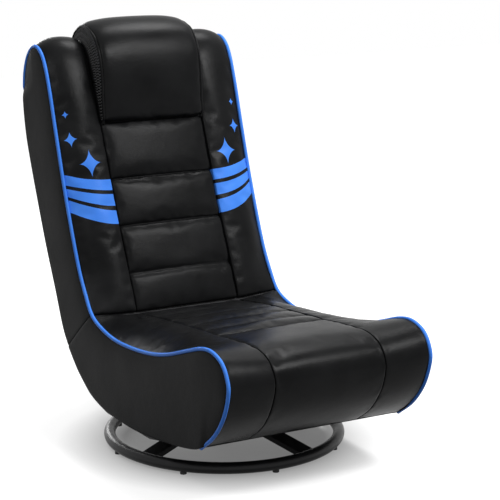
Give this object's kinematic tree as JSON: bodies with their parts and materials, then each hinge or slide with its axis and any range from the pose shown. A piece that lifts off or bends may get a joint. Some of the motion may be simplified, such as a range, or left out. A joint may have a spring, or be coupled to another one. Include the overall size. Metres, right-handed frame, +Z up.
{
  "type": "floor gaming chair",
  "caption": "Legless padded floor chair on a round swivel ring base; its channelled back, with a headrest pillow, folds forward and down onto the seat.",
  "frame": {"origin": "on the floor, on the swivel axis, at the middle of the base ring", "axes": "+Z up, the sitter faces -Y; left and right in node names are as seen from the front, so right is +X"},
  "size_m": [0.5289, 0.9654, 0.8907],
  "materials": {
    "base_paint": "satin",
    "glide_rubber": "matte",
    "cage_plastic": "matte",
    "zinc_steel": "satin",
    "frame_paint": "satin",
    "plywood": "matte",
    "foam": "matte",
    "webbing": "matte",
    "blue_piping": "satin",
    "mesh": "matte",
    "black_pu_panel": "satin",
    "black_pu_pad": "satin"
  },
  "bodies": {
    "base": {"base_ring": "base_paint", "base_spoke_1": "base_paint", "base_spoke_2": "base_paint", "base_spoke_3": "base_paint", "base_spoke_4": "base_paint", "base_hub_plate": "base_paint", "floor_glides": "glide_rubber", "swivel_lower_plate": "zinc_steel", "hub_bolts": "zinc_steel", "hub_nuts": "zinc_steel", "swivel_pivot": "zinc_steel"},
    "ball_race": {"ball_cage": "cage_plastic", "bearing_balls": "zinc_steel"},
    "seat": {"hinge_pins": "zinc_steel", "hinge_seat_leaves": "zinc_steel", "hinge_seat_screws": "zinc_steel", "seat_base_board": "plywood", "seat_bolster_left": "black_pu_pad", "seat_bolster_right": "black_pu_pad", "seat_bottom_panel": "black_pu_panel", "seat_centre_pad": "black_pu_pad", "seat_end_board": "plywood", "seat_foam_core": "foam", "seat_front_roll": "black_pu_pad", "seat_front_tube": "frame_paint", "seat_mount_plate": "frame_paint", "seat_piping_left": "blue_piping", "seat_piping_right": "blue_piping", "seat_rail_left": "frame_paint", "seat_rail_right": "frame_paint", "seat_side_panel_left": "black_pu_panel", "seat_side_panel_right": "black_pu_panel", "swivel_bolts": "zinc_steel", "swivel_nuts": "zinc_steel", "swivel_upper_plate": "zinc_steel"},
    "back": {"back_bolster_left": "black_pu_pad", "back_bolster_right": "black_pu_pad", "back_centre_pad": "black_pu_pad", "back_end_board": "plywood", "back_foam_core": "foam", "back_piping_left": "blue_piping", "back_piping_right": "blue_piping", "back_rail_left": "frame_paint", "back_rail_right": "frame_paint", "back_rear_panel": "black_pu_panel", "back_side_panel_left": "black_pu_panel", "back_side_panel_right": "black_pu_panel", "back_top_cap": "black_pu_pad", "back_top_tube": "frame_paint", "back_webbing": "webbing", "headrest_gusset_left": "mesh", "headrest_gusset_right": "mesh", "headrest_pillow": "black_pu_pad", "headrest_rear_flap": "black_pu_panel", "hinge_back_leaves": "zinc_steel", "hinge_back_screws": "zinc_steel"}
  },
  "joints": [
    {"name": "seat_swivel", "type": "hinge", "parent": "base", "child": "seat", "pos_m": [0, 0, 0.0605], "axis": [0, 0, 1], "continuous": true},
    {"name": "ball_roll", "type": "hinge", "parent": "base", "child": "ball_race", "pos_m": [0, 0, 0.063], "axis": [0, 0, 1], "continuous": true},
    {"name": "back_fold", "type": "hinge", "parent": "seat", "child": "back", "pos_m": [0, 0.17921, 0.26446], "axis": [1, 0, 0], "range_deg": [0, 94]}
  ],
  "couplings": [
    {"joint": "ball_roll", "follows": "seat_swivel", "ratio": 0.5}
  ]
}
